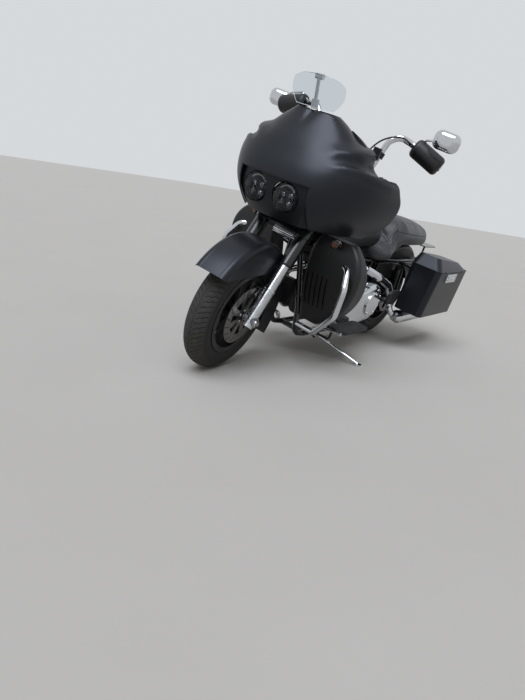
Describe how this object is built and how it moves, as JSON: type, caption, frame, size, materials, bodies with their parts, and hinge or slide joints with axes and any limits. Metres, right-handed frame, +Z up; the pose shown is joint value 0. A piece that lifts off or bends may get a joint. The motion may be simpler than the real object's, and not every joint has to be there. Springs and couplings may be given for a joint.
{
  "type": "touring cruiser motorcycle",
  "caption": "Touring cruiser motorcycle on its side stand, with a frame-mounted fairing, hard saddlebags with hinged lids, turning bars and free wheels.",
  "frame": {"origin": "middle of the box round the parked machine, on the ground", "axes": "+X to the front of the machine, +Y to the rider's left, +Z up"},
  "size_m": [2.4538, 1.1514, 1.4633],
  "materials": {
    "tyre_rubber": "matt",
    "cast_black": "satin",
    "denim_black": "satin",
    "paint_black": "satin",
    "chrome": "polished",
    "polished_alloy": "satin",
    "engine_black": "matt",
    "steel_disc": "satin",
    "frame_black": "satin",
    "black_plastic": "matt",
    "rubber_black": "matt",
    "seat_leather": "grained",
    "lamp_glass": "clear",
    "clear_screen": "clear",
    "red_lamp": "clear",
    "amber_lamp": "clear"
  },
  "bodies": {
    "front_wheel": {"front_tyre": "tyre_rubber", "front_rim": "cast_black", "front_rotors": "steel_disc"},
    "rear_wheel": {"rear_tyre": "tyre_rubber", "rear_rim": "cast_black", "rear_drive_discs": "steel_disc"},
    "steering": {"front_axle": "polished_alloy", "fork_sliders": "polished_alloy", "fork_covers": "frame_black", "triple_clamps": "frame_black", "brake_line_manifold": "chrome", "front_fender": "denim_black", "front_calipers": "polished_alloy", "handlebar": "chrome", "hand_controls": "rubber_black", "mirrors": "chrome", "device_holder": "black_plastic", "clutch_cable": "rubber_black", "hand_guards": "black_plastic"},
    "frame": {"frame": "frame_black", "cylinders": "engine_black", "rocker_covers": "polished_alloy", "crankcase": "engine_black", "primary_cover": "chrome", "cam_cover": "chrome", "air_cleaner": "chrome", "exhaust": "chrome", "exhaust_shield": "chrome", "fuel_tank": "paint_black", "seat": "seat_leather", "side_covers": "black_plastic", "rear_fender": "paint_black", "rear_lamps": "red_lamp", "saddlebag_left": "denim_black", "saddlebag_right": "denim_black", "bag_latches": "chrome", "luggage_plate": "frame_black", "swingarm": "frame_black", "shocks": "frame_black", "drive_belt": "rubber_black", "fairing": "denim_black", "lamp_nacelle": "black_plastic", "headlamps": "lamp_glass", "dash": "black_plastic", "wind_deflector": "clear_screen", "deflector_bracket": "chrome", "engine_guard": "chrome", "lower_fairings": "black_plastic", "oil_cooler": "engine_black", "front_signals": "amber_lamp", "footboards": "rubber_black", "foot_controls": "chrome"},
    "bag_lid_left": {"bag_lid_left": "denim_black"},
    "bag_lid_right": {"bag_lid_right": "denim_black"},
    "side_stand": {"side_stand": "chrome"}
  },
  "joints": [
    {"name": "steering_turn", "type": "hinge", "parent": "frame", "child": "steering", "pos_m": [0.72297, -0.05626, 0.68702], "axis": [-0.4362, 0.1561, 0.8862], "range_deg": [-46, 26]},
    {"name": "front_wheel_spin", "type": "hinge", "parent": "steering", "child": "front_wheel", "pos_m": [0.90646, -0.12239, 0.31236], "axis": [-0.1567, 0.9566, -0.2456], "continuous": true},
    {"name": "rear_wheel_spin", "type": "hinge", "parent": "frame", "child": "rear_wheel", "pos_m": [-0.70654, -0.12173, 0.31933], "axis": [-0.0004, 0.9848, -0.1736], "continuous": true},
    {"name": "stand_fold", "type": "hinge", "parent": "frame", "child": "side_stand", "pos_m": [0.20099, -0.02566, 0.13053], "axis": [0.0483, 0.4238, 0.9045], "range_deg": [0, 75]},
    {"name": "bag_lid_left_open", "type": "hinge", "parent": "frame", "child": "bag_lid_left", "pos_m": [-0.70594, 0.38186, 0.56085], "axis": [-1, 0, 0.0025], "range_deg": [0, 85]},
    {"name": "bag_lid_right_open", "type": "hinge", "parent": "frame", "child": "bag_lid_right", "pos_m": [-0.70554, -0.51234, 0.71852], "axis": [1, 0, -0.0025], "range_deg": [0, 85]}
  ]
}
